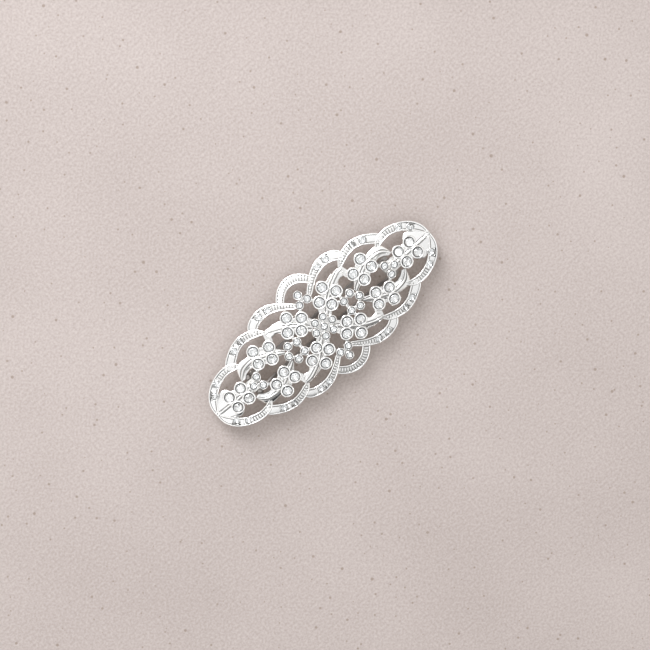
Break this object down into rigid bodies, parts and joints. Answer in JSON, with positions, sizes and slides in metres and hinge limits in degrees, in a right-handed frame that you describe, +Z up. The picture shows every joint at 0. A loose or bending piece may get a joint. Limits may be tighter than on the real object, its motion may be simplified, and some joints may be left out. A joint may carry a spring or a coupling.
{
  "type": "rhinestone hair clip",
  "caption": "Domed openwork silver-plated hair clip with scalloped bands, leaf clusters of clear round stones, and a hinged strip bail clasp with a sprung catch underneath.",
  "frame": {"origin": "centre of the clip's length and width, at the level of the closed bail's flat underside", "axes": "+X along the clip from the hinge end to the catch end, +Y across it, +Z up out of the stones"},
  "size_m": [0.0902, 0.0386, 0.0088],
  "materials": {
    "silver_plate": "bright silver plating, polished high spots and slightly darker recesses",
    "bracket_plate": "plain silver plating, finely brushed",
    "spring_steel": "drawn spring steel strip, satin",
    "crystal": "clear cut glass with foil backing"
  },
  "bodies": {
    "plate": {"filigree_plate": "silver_plate", "hinge_bracket": "bracket_plate", "hinge_pin": "spring_steel", "catch_bracket": "bracket_plate", "catch_leaf": "spring_steel", "catch_rivet_1": "bracket_plate", "catch_rivet_2": "bracket_plate", "inner_leaf_stone_01": "crystal", "inner_leaf_stone_02": "crystal", "inner_leaf_stone_03": "crystal", "inner_leaf_stone_04": "crystal", "inner_leaf_stone_05": "crystal", "inner_leaf_stone_06": "crystal", "inner_leaf_stone_07": "crystal", "inner_leaf_stone_08": "crystal", "inner_leaf_stone_09": "crystal", "inner_leaf_stone_10": "crystal", "inner_leaf_stone_11": "crystal", "inner_leaf_stone_12": "crystal", "inner_leaf_stone_13": "crystal", "inner_leaf_stone_14": "crystal", "inner_leaf_stone_15": "crystal", "inner_leaf_stone_16": "crystal", "outer_leaf_stone_01": "crystal", "outer_leaf_stone_02": "crystal", "outer_leaf_stone_03": "crystal", "outer_leaf_stone_04": "crystal", "outer_leaf_stone_05": "crystal", "outer_leaf_stone_06": "crystal", "outer_leaf_stone_07": "crystal", "outer_leaf_stone_08": "crystal", "outer_leaf_stone_09": "crystal", "outer_leaf_stone_10": "crystal", "outer_leaf_stone_11": "crystal", "outer_leaf_stone_12": "crystal", "outer_leaf_stone_13": "crystal", "outer_leaf_stone_14": "crystal", "outer_leaf_stone_15": "crystal", "outer_leaf_stone_16": "crystal", "end_leaf_stone_01": "crystal", "end_leaf_stone_02": "crystal", "end_leaf_stone_03": "crystal", "end_leaf_stone_04": "crystal", "end_leaf_stone_05": "crystal", "end_leaf_stone_06": "crystal", "end_leaf_stone_07": "crystal", "end_leaf_stone_08": "crystal", "rosette_stone_01": "crystal", "rosette_stone_02": "crystal", "rosette_stone_03": "crystal", "rosette_stone_04": "crystal", "rosette_stone_05": "crystal", "rosette_stone_06": "crystal", "rosette_stone_07": "crystal"},
    "bail": {"clasp_bail": "spring_steel"},
    "catch": {"catch_hook": "spring_steel"}
  },
  "joints": [
    {"name": "bail_hinge", "type": "hinge", "parent": "plate", "child": "bail", "pos_m": [-0.0294, 0, 0.00355], "axis": [0, 1, 0], "range_deg": [0, 100]},
    {"name": "catch_flex", "type": "hinge", "parent": "plate", "child": "catch", "pos_m": [0.03022, 0, 0.0042], "axis": [0, -1, 0], "range_deg": [0, 24], "stiffness_Nm_per_rad": 0.02}
  ]
}
